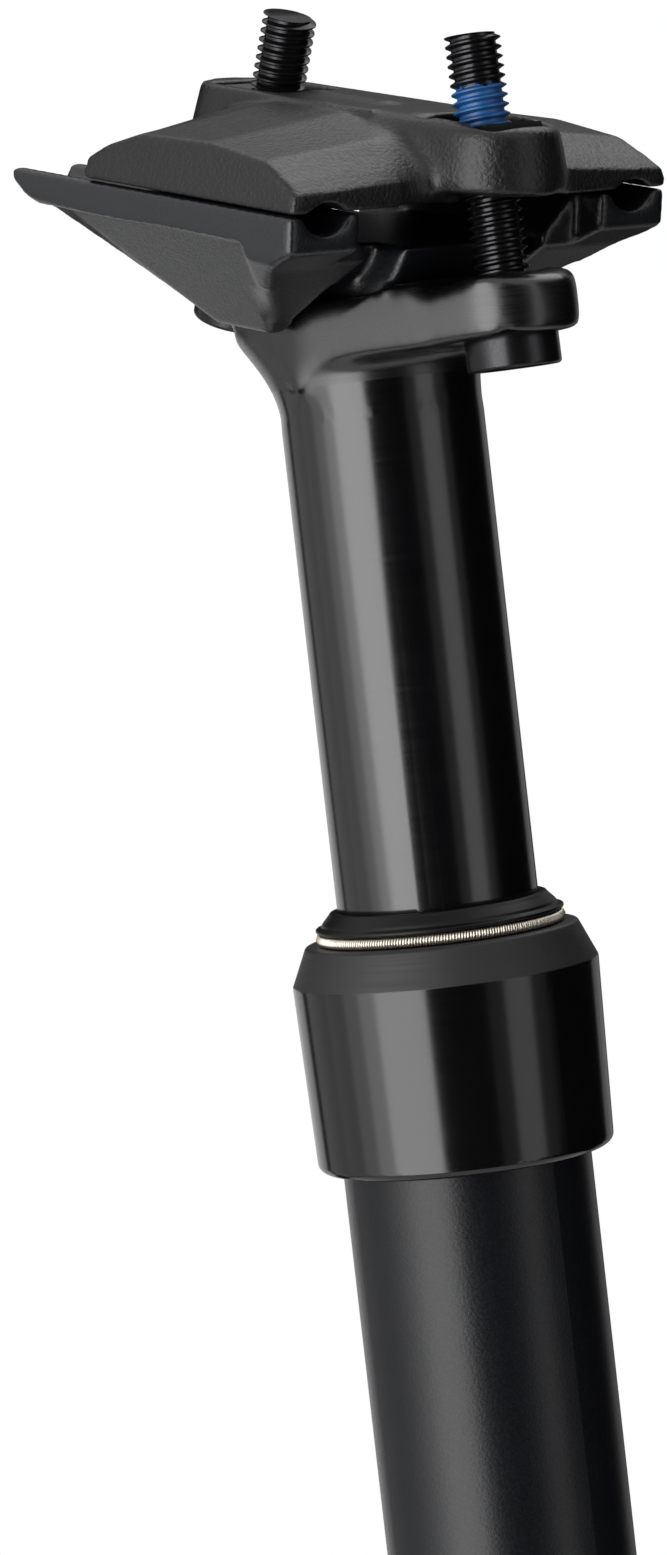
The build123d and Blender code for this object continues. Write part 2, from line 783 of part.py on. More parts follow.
cartridge_radius = cartridge_diameter / 2
cartridge_bore_radius = cartridge_radius - cartridge_wall
cartridge_top = stanchion_bore_top - cartridge_pad_thickness
retainer_bottom = stanchion_bottom + retainer_offset
cartridge_bottom = retainer_bottom + retainer_height
seal_head_top = cartridge_bottom + seal_head_height
rod_radius = rod_diameter / 2
rod_bore_radius = rod_bore_diameter / 2
piston_bottom = seal_head_top + piston_top_out_gap
piston_top = piston_bottom + piston_height
piston_ring_bottom = piston_bottom + (piston_height - piston_ring_height) / 2
floating_piston_bottom = piston_top + floating_piston_gap
piston_radius = cartridge_bore_radius - running_fit
piston_core_radius = piston_radius - guard_ring_depth

cartridge_pad = tube_at(cartridge_radius, rod_radius, cartridge_top, stanchion_bore_top)
cartridge_pad.label = "cartridge_pad"
export_step(cartridge_pad, "parts/cartridge_pad.step")

with BuildPart() as cartridge_tube:
    with BuildSketch(Plane.XY.offset(cartridge_bottom)):
        Circle(cartridge_radius)
    extrude(amount=cartridge_top - cartridge_bottom)
    with BuildSketch(Plane.XY.offset(cartridge_bottom)):
        Circle(cartridge_bore_radius)
    extrude(amount=cartridge_top - cartridge_cap_thickness - cartridge_bottom, mode=Mode.SUBTRACT)
cartridge_tube.part.label = "cartridge_tube"
export_step(cartridge_tube.part, "parts/cartridge_tube.step")

seal_head = tube_at(
    cartridge_bore_radius - seat_fit,
    rod_radius + running_fit,
    cartridge_bottom,
    seal_head_top,
)
seal_head.label = "seal_head"
export_step(seal_head, "parts/seal_head.step")

cartridge_retainer = tube_at(
    stanchion_bore_radius - seat_fit,
    retainer_bore_radius,
    retainer_bottom,
    cartridge_bottom,
)
cartridge_retainer.label = "cartridge_retainer"
export_step(cartridge_retainer, "parts/cartridge_retainer.step")

with BuildPart() as main_piston:
    with BuildSketch(Plane.XY.offset(piston_bottom)):
        Circle(piston_radius)
        Circle(rod_radius + seat_fit, mode=Mode.SUBTRACT)
    extrude(amount=piston_height)
    with BuildSketch(Plane.XY.offset(piston_ring_bottom)):
        Circle(cartridge_radius)
        Circle(piston_core_radius, mode=Mode.SUBTRACT)
    extrude(amount=piston_ring_height, mode=Mode.SUBTRACT)
main_piston.part.label = "main_piston"
export_step(main_piston.part, "parts/main_piston.step")

piston_ring = tube_at(
    piston_radius,
    piston_core_radius + seat_fit,
    piston_ring_bottom,
    piston_ring_bottom + piston_ring_height,
)
piston_ring.label = "piston_ring"
export_step(piston_ring, "parts/piston_ring.step")

with BuildPart() as floating_piston:
    with BuildSketch(Plane.XY.offset(floating_piston_bottom)):
        Circle(piston_radius)
    extrude(amount=floating_piston_height)
    with BuildSketch(Plane.XY.offset(floating_piston_bottom + floating_piston_height)):
        Circle(piston_core_radius)
    extrude(amount=-floating_piston_recess, mode=Mode.SUBTRACT)
    with BuildSketch(Plane.XY.offset(floating_piston_bottom + floating_piston_recess)):
        Circle(cartridge_radius)
        Circle(piston_core_radius, mode=Mode.SUBTRACT)
    extrude(amount=piston_ring_height, mode=Mode.SUBTRACT)
floating_piston.part.label = "floating_piston"
export_step(floating_piston.part, "parts/floating_piston.step")

floating_seal_bottom = floating_piston_bottom + floating_piston_recess
floating_seal = tube_at(
    piston_radius,
    piston_core_radius + seat_fit,
    floating_seal_bottom,
    floating_seal_bottom + piston_ring_height,
)
floating_seal.label = "floating_piston_seal"
export_step(floating_seal, "parts/floating_piston_seal.step")

# Actuator foot, screwed into the lower tube's end: it holds the rod and the cable's lever
foot_floor = 5.5
lever_slot_width = 5.0
lever_slot_front = 3.5
lever_thickness = 4.2
rod_seat_height = 2.0
rod_nut_width = 13.0
rod_nut_height = 5.0
valve_pin_diameter = 2.0
valve_pin_length = 31.0
valve_pin_stand_out = 2.0
lever_pin_diameter = 2.5
lever_bar_radius = 2.4
lever_nose_reach = 4.5
lever_arm_reach = 5.2
lever_eye_radius = 3.3
cable_barrel_diameter = 4.4
cable_hole_diameter = 1.8
grub_screw_diameter = 2.5
grub_screw_length = 1.2
housing_diameter = 5.0
housing_stop_wall = 0.6
housing_stop_stand_out = 2.0
housing_stop_floor = 1.2
foot_edge_round = 1.2
foot_step = 0.25

foot_radius = post_radius - foot_step
slot_top = tube_bottom - rod_seat_height
slot_bottom = foot_bottom + foot_floor
valve_pin_bottom = slot_top - valve_pin_stand_out
valve_pin_radius = valve_pin_diameter / 2
lever_height = valve_pin_bottom - running_fit - lever_bar_radius
lever_pivot_x = -lever_nose_reach
lever_eye_x = lever_pivot_x - lever_arm_reach
lever_pin_radius = lever_pin_diameter / 2
cable_barrel_radius = cable_barrel_diameter / 2
cable_hole_radius = cable_hole_diameter / 2
grub_screw_radius = grub_screw_diameter / 2
housing_stop_radius = housing_diameter / 2 + housing_stop_wall
foot_spigot_top = tube_bottom + foot_spigot_height
foot_spigot_radius = bore_radius - seat_fit
foot_ring_groove_radius = bore_radius - o_ring_section
foot_ring_height = tube_bottom + foot_spigot_height / 2

with BuildPart() as actuator_foot:
    with BuildSketch(Plane.XY.offset(foot_bottom)):
        Circle(foot_radius)
    extrude(amount=foot_flange_height)
    fillet(actuator_foot.edges().filter_by(GeomType.CIRCLE).sort_by(Axis.Z)[0], foot_edge_round)
    with BuildSketch(Plane.XY.offset(tube_bottom)):
        Circle(foot_spigot_radius)
    extrude(amount=foot_spigot_height)
    with BuildSketch(Plane.XY.offset(foot_ring_height - (o_ring_section + o_ring_groove_play) / 2)):
        Circle(post_radius)
        Circle(foot_ring_groove_radius, mode=Mode.SUBTRACT)
    extrude(amount=o_ring_section + o_ring_groove_play, mode=Mode.SUBTRACT)
    # The rod's threaded seat and the valve pin's hole below it
    with BuildSketch(Plane.XY.offset(tube_bottom)):
        Circle(rod_radius + seat_fit)
    extrude(amount=foot_spigot_height, mode=Mode.SUBTRACT)
    with BuildSketch(Plane.XY.offset(slot_bottom)):
        Circle(valve_pin_radius + running_fit)
    extrude(amount=tube_bottom - slot_bottom, mode=Mode.SUBTRACT)
    # The lever's slot, open to the rear
    with BuildSketch(Plane.XZ):
        with Locations((lever_slot_front, slot_bottom)):
            Rectangle(2 * post_radius, slot_top - slot_bottom, align=(Align.MAX, Align.MIN))
    extrude(amount=lever_slot_width / 2, both=True, mode=Mode.SUBTRACT)
    with BuildSketch(Plane.XZ):
        with Locations((lever_pivot_x, lever_height)):
            Circle(lever_pin_radius + seat_fit)
    extrude(amount=post_radius, both=True, mode=Mode.SUBTRACT)
    # The housing stop's hole
    with BuildSketch(Plane.XY.offset(foot_bottom)):
        with Locations((lever_eye_x, 0)):
            Circle(housing_stop_radius + seat_fit)
    extrude(amount=foot_floor, mode=Mode.SUBTRACT)
actuator_foot.part.label = "actuator_foot"
export_step(actuator_foot.part, "parts/actuator_foot.step")

foot_o_ring = ring_at(bore_radius - o_ring_section / 2, o_ring_section / 2 - seat_fit, foot_ring_height)
foot_o_ring.label = "foot_o_ring"
export_step(foot_o_ring, "parts/foot_o_ring.step")

cartridge_rod = tube_at(rod_radius, rod_bore_radius, tube_bottom, piston_top)
cartridge_rod.label = "cartridge_rod"
export_step(cartridge_rod, "parts/cartridge_rod.step")

with BuildPart() as rod_nut:
    with BuildSketch(Plane.XY.offset(foot_spigot_top)):
        RegularPolygon(rod_nut_width / 2, 6, major_radius=False)
        Circle(rod_radius + seat_fit, mode=Mode.SUBTRACT)
    extrude(amount=rod_nut_height)
rod_nut.part.label = "rod_nut"
export_step(rod_nut.part, "parts/rod_nut.step")

with BuildPart() as valve_pin:
    with BuildSketch(Plane.XY.offset(valve_pin_bottom)):
        Circle(valve_pin_radius)
    extrude(amount=valve_pin_length)
valve_pin.part.label = "valve_pin"
export_step(valve_pin.part, "parts/valve_pin.step")

lever_pin_half_length = sqrt(foot_radius**2 - (lever_pivot_x - lever_pin_radius) ** 2) - seat_fit
with BuildPart() as lever_pin:
    with BuildSketch(Plane.XZ):
        with Locations((lever_pivot_x, lever_height)):
            Circle(lever_pin_radius)
    extrude(amount=lever_pin_half_length, both=True)
lever_pin.part.label = "lever_pin"
export_step(lever_pin.part, "parts/lever_pin.step")

with BuildPart() as actuator_lever:
    for end_x, end_radius in ((0, lever_bar_radius), (lever_eye_x, lever_eye_radius)):
        with BuildSketch(Plane.XZ):
            with Locations((end_x, lever_height)):
                Circle(end_radius)
            with Locations((lever_pivot_x, lever_height)):
                Circle(lever_bar_radius)
            make_hull()
        extrude(amount=lever_thickness / 2, both=True)
    with BuildSketch(Plane.XZ):
        with Locations((lever_pivot_x, lever_height)):
            Circle(lever_pin_radius + running_fit)
        with Locations((lever_eye_x, lever_height)):
            Circle(cable_barrel_radius + running_fit)
    extrude(amount=lever_thickness / 2, both=True, mode=Mode.SUBTRACT)
    with BuildSketch(Plane.XY.offset(lever_height)):
        with Locations((lever_eye_x, 0)):
            SlotOverall(2 * lever_eye_radius, cable_hole_diameter)
    extrude(amount=-2 * lever_eye_radius, mode=Mode.SUBTRACT)
actuator_lever.part.label = "actuator_lever"
export_step(actuator_lever.part, "parts/actuator_lever.step")

with BuildPart() as cable_barrel:
    with BuildSketch(Plane.XZ):
        with Locations((lever_eye_x, lever_height)):
            Circle(cable_barrel_radius)
    extrude(amount=lever_thickness / 2, both=True)
    with BuildSketch(Plane.XY.offset(lever_height - cable_barrel_diameter)):
        with Locations((lever_eye_x, 0)):
            Circle(cable_hole_radius)
    extrude(amount=2 * cable_barrel_diameter, mode=Mode.SUBTRACT)
    with BuildSketch(Plane.XZ.offset(lever_thickness / 2)):
        with Locations((lever_eye_x, lever_height)):
            Circle(grub_screw_radius + seat_fit)
    extrude(amount=-grub_screw_length, mode=Mode.SUBTRACT)
cable_barrel.part.label = "cable_barrel"
export_step(cable_barrel.part, "parts/cable_barrel.step")

with BuildPart() as cable_screw:
    with BuildSketch(Plane.XZ.offset(lever_thickness / 2)):
        with Locations((lever_eye_x, lever_height)):
            Circle(grub_screw_radius)
            RegularPolygon(grub_screw_radius / 2, 6, mode=Mode.SUBTRACT)
    extrude(amount=-grub_screw_length)
cable_screw.part.label = "cable_screw"
export_step(cable_screw.part, "parts/cable_screw.step")

with BuildPart() as housing_stop:
    with BuildSketch(Plane.XY.offset(foot_bottom - housing_stop_stand_out)):
        with Locations((lever_eye_x, 0)):
            Circle(housing_stop_radius)
    extrude(amount=housing_stop_stand_out + foot_floor)
    with BuildSketch(Plane.XY.offset(foot_bottom - housing_stop_stand_out)):
        with Locations((lever_eye_x, 0)):
            Circle(housing_diameter / 2)
    extrude(amount=housing_stop_stand_out + foot_floor - housing_stop_floor, mode=Mode.SUBTRACT)
    with BuildSketch(Plane.XY.offset(foot_bottom)):
        with Locations((lever_eye_x, 0)):
            Circle(cable_hole_radius)
    extrude(amount=foot_floor, mode=Mode.SUBTRACT)
housing_stop.part.label = "housing_stop"
export_step(housing_stop.part, "parts/housing_stop.step")
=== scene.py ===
import json
import math

import bmesh
import bpy
from mathutils import Matrix, Vector


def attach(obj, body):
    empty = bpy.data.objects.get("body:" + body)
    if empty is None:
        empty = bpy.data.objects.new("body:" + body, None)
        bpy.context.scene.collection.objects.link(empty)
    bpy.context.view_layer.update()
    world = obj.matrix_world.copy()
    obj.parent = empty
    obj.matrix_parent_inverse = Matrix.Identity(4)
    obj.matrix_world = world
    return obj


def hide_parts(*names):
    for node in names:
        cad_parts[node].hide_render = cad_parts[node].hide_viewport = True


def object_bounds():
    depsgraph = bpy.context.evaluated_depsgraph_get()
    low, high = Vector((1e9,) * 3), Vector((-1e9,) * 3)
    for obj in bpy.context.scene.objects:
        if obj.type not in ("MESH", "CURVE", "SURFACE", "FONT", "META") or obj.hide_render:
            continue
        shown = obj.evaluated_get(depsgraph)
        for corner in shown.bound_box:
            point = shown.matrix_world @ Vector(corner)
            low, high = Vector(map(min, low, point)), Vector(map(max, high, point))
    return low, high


# %% [markdown]
# A dropper seatpost is a bicycle seatpost that slides down into itself. This lesson dresses its
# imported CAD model. The model is loaded first and stays where it is: each surface gets a finish,
# and the forged, threaded, wound and rubber pieces get a fuller shape that stands on the same spot.

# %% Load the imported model
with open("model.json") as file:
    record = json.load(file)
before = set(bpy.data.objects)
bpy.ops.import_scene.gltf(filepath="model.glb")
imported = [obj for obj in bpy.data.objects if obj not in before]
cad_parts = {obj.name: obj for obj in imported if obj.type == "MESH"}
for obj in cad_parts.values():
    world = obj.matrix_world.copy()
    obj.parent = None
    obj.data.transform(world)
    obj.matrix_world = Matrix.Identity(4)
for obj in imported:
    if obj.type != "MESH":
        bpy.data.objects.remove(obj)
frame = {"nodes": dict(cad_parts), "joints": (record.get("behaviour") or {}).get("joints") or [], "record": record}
cad_low, cad_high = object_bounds()
nodes = frame["nodes"]
joints = {joint["name"]: joint for joint in frame["joints"]}
MM = 0.001
print("CAD box, mm:", [round(v / MM, 1) for v in (*cad_low, *cad_high)])

# %% [markdown]
# Two helpers carry the whole script. Colours are written as the hex values that a screen shows,
# and one function turns them to the linear light that Blender computes with. A second small
# function adds a shader node, with its settings and links, so that a material reads as a list.

# %% Colour and node helpers
SRGB_FOOT, SRGB_FOOT_SLOPE = 0.04045, 12.92
SRGB_OFFSET, SRGB_POWER = 0.055, 2.4


def colour(hex_value):
    """Turns an sRGB hex value into linear red, green, blue and alpha."""
    linear = []
    for i in (1, 3, 5):
        share = int(hex_value[i : i + 2], 16) / 255
        if share <= SRGB_FOOT:
            linear.append(share / SRGB_FOOT_SLOPE)
        else:
            linear.append(((share + SRGB_OFFSET) / (1 + SRGB_OFFSET)) ** SRGB_POWER)
    return linear + [1.0]


def add_node(tree, kind, settings=None, inputs=None):
    """Adds a shader node; an input that is a socket is linked, and any other is set as a value."""
    made = tree.nodes.new(kind)
    for name, value in (settings or {}).items():
        setattr(made, name, value)
    for name, value in (inputs or {}).items():
        if isinstance(value, bpy.types.NodeSocket):
            tree.links.new(value, made.inputs[name])
        else:
            made.inputs[name].default_value = value
    return made


def new_material(name):
    """Starts an empty material and gives it with its output's surface socket."""
    material = bpy.data.materials.new(name)
    material.use_nodes = True
    material.node_tree.nodes.clear()
    output = add_node(material.node_tree, "ShaderNodeOutputMaterial")
    return material, material.node_tree, output.inputs["Surface"]


# %% [markdown]
# The camera stands where the photographer's did: in front of the post and to its right, a little
# above it, about half a metre away, and rolled so that the post leans to the left of the picture.
# The picture is taller than it is wide, so the lens is worked out from its height.

# %% Camera
PICTURE_HEIGHT = 1555
FOCAL_PIXELS = 5000
CAMERA_AZIMUTH = math.radians(49.16)
CAMERA_RISE = math.radians(4.13)
CAMERA_ROLL = math.radians(6.567)
CAMERA_PLACE = Vector((403.29, -361.46, 81.82)) * MM

towards_camera = Vector((
    math.sin(CAMERA_AZIMUTH) * math.cos(CAMERA_RISE),
    -math.cos(CAMERA_AZIMUTH) * math.cos(CAMERA_RISE),
    math.sin(CAMERA_RISE),
))
picture_right = (-towards_camera).cross(Vector((0, 0, 1))).normalized()
picture_up = picture_right.cross(-towards_camera).normalized()
rolled_right = picture_right * math.cos(CAMERA_ROLL) - picture_up * math.sin(CAMERA_ROLL)
rolled_up = picture_right * math.sin(CAMERA_ROLL) + picture_up * math.cos(CAMERA_ROLL)

camera_data = bpy.data.cameras.new("camera")
camera_data.sensor_fit = "VERTICAL"
camera_data.sensor_height = 36
camera_data.lens = camera_data.sensor_height * FOCAL_PIXELS / PICTURE_HEIGHT
camera_data.clip_start = 0.01
camera = bpy.data.objects.new("camera", camera_data)
camera.matrix_world = Matrix((
    (rolled_right.x, rolled_up.x, towards_camera.x, CAMERA_PLACE.x),
    (rolled_right.y, rolled_up.y, towards_camera.y, CAMERA_PLACE.y),
    (rolled_right.z, rolled_up.z, towards_camera.z, CAMERA_PLACE.z),
    (0, 0, 0, 1),
))
bpy.context.scene.collection.objects.link(camera)
bpy.context.scene.camera = camera
print("lens, mm:", round(camera_data.lens, 2))

# %% [markdown]
# A black shiny thing is lit by what it mirrors. The studio here is a white room, a pale floor
# below the post, and soft boxes. A ring of black flags round the set keeps the room out of the
# metal, as photographers do for black products, so that only the boxes draw bright bands in it.
# The flags and boxes are hidden from the camera, so the set can be looked at from any side.
# Lengths are in metres here, because the set is far larger than the post.

# %% Studio
AMBIENT = 0.35
FLAG_RADIUS = 1.4
FLAG_LOW, FLAG_HIGH = -1.8, 1.1
FLOOR_RADIUS = 0.34
FLOOR_DROP = 0.004
BOX_DISTANCE = 1.0
BOX_HEIGHT = 1.5
SET_MIDDLE = Vector((0, 0, 40)) * MM


def white_where_seen(tree, level):
    """Gives a strength of 1 to camera, glossy and transmission rays, and a level to the rest."""
    path = add_node(tree, "ShaderNodeLightPath")
    seen = path.outputs["Is Camera Ray"]
    for name in ("Is Glossy Ray", "Is Transmission Ray"):
        either = add_node(tree, "ShaderNodeMath", {"operation": "MAXIMUM"}, {
            0: seen, 1: path.outputs[name],
        })
        seen = either.outputs[0]
    strength = add_node(tree, "ShaderNodeMapRange", None, {
        "Value": seen, "To Min": level, "To Max": 1.0,
    })
    return strength.outputs[0]


world = bpy.data.worlds.new("white_room")
bpy.context.scene.world = world
world.use_nodes = True
world.node_tree.nodes.clear()
room = add_node(world.node_tree, "ShaderNodeBackground", None, {
    "Color": colour("#FFFFFF"),
    "Strength": white_where_seen(world.node_tree, AMBIENT),
})
add_node(world.node_tree, "ShaderNodeOutputWorld", None, {"Surface": room.outputs[0]})

pale_floor, tree, surface = new_material("pale_paper_floor")
paper = add_node(tree, "ShaderNodeBsdfPrincipled", None, {
    "Base Color": colour("#EDEDEB"), "Roughness": 0.8,
})
tree.links.new(paper.outputs[0], surface)

flag_cloth, tree, surface = new_material("black_flag_cloth")
velvet = add_node(tree, "ShaderNodeBsdfDiffuse", None, {"Color": colour("#141414")})
tree.links.new(velvet.outputs[0], surface)


def finish_mesh(name, shape, material, smooth=True):
    """Turns a bmesh into a shown object with one material."""
    mesh = bpy.data.meshes.new(name)
    shape.to_mesh(mesh)
    shape.free()
    if smooth:
        mesh.shade_smooth()
    made = bpy.data.objects.new(name, mesh)
    bpy.context.scene.collection.objects.link(made)
    mesh.materials.append(material)
    return made


def picked(geometry, kind):
    """Picks the points or the edges out of what an operator made."""
    return [part for part in geometry if isinstance(part, kind)]


shape = bmesh.new()
bmesh.ops.create_circle(shape, cap_ends=True, segments=96, radius=FLOOR_RADIUS)
bmesh.ops.translate(shape, verts=shape.verts, vec=(0, 0, cad_low.z - FLOOR_DROP))
floor = finish_mesh("studio_floor", shape, pale_floor, smooth=False)

shape = bmesh.new()
bmesh.ops.create_circle(shape, segments=64, radius=FLAG_RADIUS)
bmesh.ops.translate(shape, verts=shape.verts, vec=(0, 0, FLAG_LOW))
walls = bmesh.ops.extrude_edge_only(shape, edges=shape.edges)
wall_tops = picked(walls["geom"], bmesh.types.BMVert)
bmesh.ops.translate(shape, verts=wall_tops, vec=(0, 0, FLAG_HIGH - FLAG_LOW))
flags = finish_mesh("black_flags", shape, flag_cloth)
flags.visible_camera = False
flags.visible_diffuse = False
flags.visible_shadow = False


def soft_box(name, bearing, spread, rise, height, radiance):
    """Hangs a soft box by its bearing and angular width, in degrees to the picture's right."""
    turn = math.radians(bearing)
    level = Vector((towards_camera.x, towards_camera.y, 0)).normalized()
    along = level * math.cos(turn) + picture_right * math.sin(turn)
    along = along * math.cos(math.radians(rise)) + Vector((0, 0, math.sin(math.radians(rise))))
    lamp = bpy.data.lights.new(name, "AREA")
    lamp.shape = "RECTANGLE"
    lamp.size = 2 * BOX_DISTANCE * math.tan(math.radians(spread / 2))
    lamp.size_y = height
    lamp.energy = radiance * math.pi * lamp.size * lamp.size_y
    made = bpy.data.objects.new(name, lamp)
    made.location = SET_MIDDLE + along * BOX_DISTANCE
    made.rotation_euler = (-along).to_track_quat("-Z", "Y").to_euler()
    made.visible_camera = False
    bpy.context.scene.collection.objects.link(made)
    print(name, "width, m:", round(lamp.size, 2))


# Bearings, spreads and rises are in degrees, and heights in metres.
for name, bearing, spread, rise, height, radiance in (
    ("key_box", -38, 40, 2, BOX_HEIGHT, 5.3),
    ("key_fade_near", -65, 14, 2, BOX_HEIGHT, 2.7),
    ("key_fade_middle", -79, 14, 2, BOX_HEIGHT, 1.4),
    ("key_fade_far", -96, 20, 2, BOX_HEIGHT, 0.75),
    ("left_wall", -119, 26, 2, BOX_HEIGHT, 0.55),
    ("back_reflector_left", -157, 34, -12, 0.6, 0.8),
    ("back_reflector_right", 152, 24, 0, BOX_HEIGHT, 0.3),
    ("right_box", 52, 22, 2, BOX_HEIGHT, 1.15),
    ("right_wall", 52, 50, 2, BOX_HEIGHT, 0.2),
    ("top_box", 138, 40, 58, 0.75, 1.35),
):
    soft_box(name, bearing, spread, rise, height, radiance)

# %% [markdown]
# Most of the post is aluminium, anodised black: the metal is turned, blasted or polished first,
# and the dyed oxide skin keeps that texture. Dyed oxide is clear glass over black, so it mirrors
# like a plastic, not like a metal. What tells one piece from the next is its grain, so one
# function makes the family, with the grain's size and depth in millimetres.

# %% Anodised aluminium family
GRAIN_LOW, GRAIN_HIGH = 0.3, 0.7
SKIN_SMOOTHER_SHARE, SKIN_ROUGHER_SHARE = 0.9, 1.12
DYE_CLOUD_MM = 9
CLOUD_LOW, CLOUD_HIGH = 0.35, 0.8
MOST_WORN = 0.5
MATTE_EDGE_MM = 0.2

# Streaks of the grain: rings left by turning, and marks drawn across or along a piece.
FINE_RINGS = (0.02, 0.02, 1)
RINGS = (0.05, 0.05, 1)
WIDE_RINGS = (0.1, 0.1, 1)
ACROSS = (1, 0.1, 1)
UPRIGHT = (1, 1, 0.1)


def grain_bump(tree, grain_mm, depth_mm, stretch=(1, 1, 1)):
    """Gives the normal of a noise grain of a real size and depth, on the object's own metres."""
    place = add_node(tree, "ShaderNodeTexCoord").outputs["Object"]
    spread = add_node(tree, "ShaderNodeMapping", None, {"Vector": place, "Scale": stretch})
    noise = add_node(tree, "ShaderNodeTexNoise", None, {
        "Vector": spread.outputs[0],
        "Scale": 1 / (grain_mm * MM),
        "Detail": 2.0,
    })
    bump = add_node(tree, "ShaderNodeBump", None, {
        "Height": noise.outputs["Fac"],
        "Strength": 1.0,
        "Distance": depth_mm * MM,
    })
    return bump.outputs[0], noise.outputs["Fac"], place


def anodised(name, dye, worn, roughness, grain_mm, depth_mm, stretch=(1, 1, 1), ior=1.5, matte=None):
    """Makes dyed, anodised aluminium; matte gives a height in mm and the roughness above it."""
    material, tree, surface = new_material(name)
    normal, grain, place = grain_bump(tree, grain_mm, depth_mm, stretch)
    clouds = add_node(tree, "ShaderNodeTexNoise", None, {
        "Vector": place, "Scale": 1 / (DYE_CLOUD_MM * MM), "Detail": 3.0,
    })
    cloudy = add_node(tree, "ShaderNodeMapRange", None, {
        "Value": clouds.outputs["Fac"], "From Min": CLOUD_LOW, "From Max": CLOUD_HIGH,
        "To Min": 0.0, "To Max": MOST_WORN,
    })
    tone = add_node(tree, "ShaderNodeMix", {"data_type": "RGBA"}, {
        "Factor": cloudy.outputs[0], "A": colour(dye), "B": colour(worn),
    })
    gloss = roughness
    if matte:
        matte_from, matte_roughness = matte
        height = add_node(tree, "ShaderNodeSeparateXYZ", None, {"Vector": place})
        blend = add_node(tree, "ShaderNodeMapRange", None, {
            "Value": height.outputs["Z"],
            "From Min": (matte_from - MATTE_EDGE_MM) * MM, "From Max": matte_from * MM,
            "To Min": roughness, "To Max": matte_roughness,
        })
        gloss = blend.outputs[0]
    uneven = add_node(tree, "ShaderNodeMapRange", None, {
        "Value": grain, "From Min": GRAIN_LOW, "From Max": GRAIN_HIGH,
        "To Min": SKIN_SMOOTHER_SHARE, "To Max": SKIN_ROUGHER_SHARE,
    })
    rough = add_node(tree, "ShaderNodeMath", {"operation": "MULTIPLY"}, {
        0: gloss, 1: uneven.outputs[0],
    })
    skin = add_node(tree, "ShaderNodeBsdfPrincipled", None, {
        "Base Color": tone.outputs["Result"],
        "Roughness": rough.outputs[0],
        "Normal": normal,
        "IOR": ior,
    })
    tree.links.new(skin.outputs[0], surface)
    return material


# The three numbers are the roughness, and the grain's size and depth in millimetres.
polished_stanchion = anodised(
    "hard_anodised_stanchion", "#040405", "#08080A", 0.18, 0.30, 0.0008, FINE_RINGS,
    ior=1.6, matte=(85, 0.28),
)
turned_collar = anodised(
    "polished_anodised_collar", "#050506", "#09090A", 0.15, 0.30, 0.0004, FINE_RINGS,
    matte=(20.6, 0.56),
)
blasted_tube = anodised("bead_blasted_tube", "#07080B", "#0C0D12", 0.31, 0.35, 0.018, ior=1.37)
blasted_clamp = anodised("bead_blasted_clamp", "#0C0B0B", "#141312", 0.38, 0.42, 0.085, ior=1.42)
satin_cradle = anodised("satin_forged_cradle", "#0A0B0E", "#121419", 0.33, 0.36, 0.036)
turned_foot = anodised("turned_anodised_foot", "#101012", "#18181A", 0.33, 0.30, 0.002, RINGS)
turned_washer = anodised("turned_anodised_washer", "#08080A", "#0F0F11", 0.17, 0.20, 0.001, ACROSS)

# %% [markdown]
# The other finishes are few. Bolts are alloy steel with black oxide, a dark and slightly oily
# metal. The garter spring is bright wire. Seals are nitrile rubber, dull with a faint bloom, and
# the bushings are filled polymer. The metals inside are turned, so their grain runs round.

# %% Metals, rubber and polymer
METAL_SMOOTHER_SHARE, METAL_ROUGHER_SHARE = 0.85, 1.2


def metal(name, tone, second, roughness, grain_mm, depth_mm, stretch=(1, 1, 1)):
    """Makes a bare or plated metal with a grain that also shades its roughness and tone."""
    material, tree, surface = new_material(name)
    normal, grain, place = grain_bump(tree, grain_mm, depth_mm, stretch)
    shade = add_node(tree, "ShaderNodeMix", {"data_type": "RGBA"}, {
        "Factor": grain, "A": colour(tone), "B": colour(second),
    })
    rough = add_node(tree, "ShaderNodeMapRange", None, {
        "Value": grain, "From Min": GRAIN_LOW, "From Max": GRAIN_HIGH,
        "To Min": roughness * METAL_SMOOTHER_SHARE, "To Max": roughness * METAL_ROUGHER_SHARE,
    })
    skin = add_node(tree, "ShaderNodeBsdfPrincipled", None, {
        "Base Color": shade.outputs["Result"],
        "Roughness": rough.outputs[0],
        "Normal": normal,
        "Metallic": 1.0,
    })
    tree.links.new(skin.outputs[0], surface)
    return material


def moulded(name, tone, second, roughness, grain_mm, depth_mm, ior=1.5):
    """Makes a moulded rubber or polymer with a fine even grain and a slightly uneven tone."""
    material, tree, surface = new_material(name)
    normal, grain, place = grain_bump(tree, grain_mm, depth_mm)
    shade = add_node(tree, "ShaderNodeMix", {"data_type": "RGBA"}, {
        "Factor": grain, "A": colour(tone), "B": colour(second),
    })
    skin = add_node(tree, "ShaderNodeBsdfPrincipled", None, {
        "Base Color": shade.outputs["Result"],
        "Roughness": roughness,
        "Normal": normal,
        "IOR": ior,
    })
    tree.links.new(skin.outputs[0], surface)
    return material


# The three numbers are the roughness, and the grain's size and depth in millimetres.
spring_wire = metal("bright_spring_wire", "#EDE6DA", "#D6CCBE", 0.38, 0.2, 0.001)
bright_pin = metal("ground_steel", "#B4B4B6", "#9A9A9C", 0.25, 0.2, 0.001, UPRIGHT)
plated_nut = metal("dark_plated_steel", "#3A3A3D", "#2C2C2E", 0.35, 0.3, 0.003)
milled_lever = metal("milled_stainless_steel", "#A8A8AA", "#8E8E90", 0.30, 0.25, 0.002, ACROSS)
turned_cartridge = metal("turned_aluminium", "#C6C6C8", "#ABABAD", 0.28, 0.25, 0.002, RINGS)
hard_chrome = metal("hard_chrome", "#D2D4D6", "#C2C4C6", 0.08, 0.3, 0.0004, RINGS)
turned_brass = metal("turned_brass", "#C9A35C", "#B08A45", 0.28, 0.25, 0.002, WIDE_RINGS)
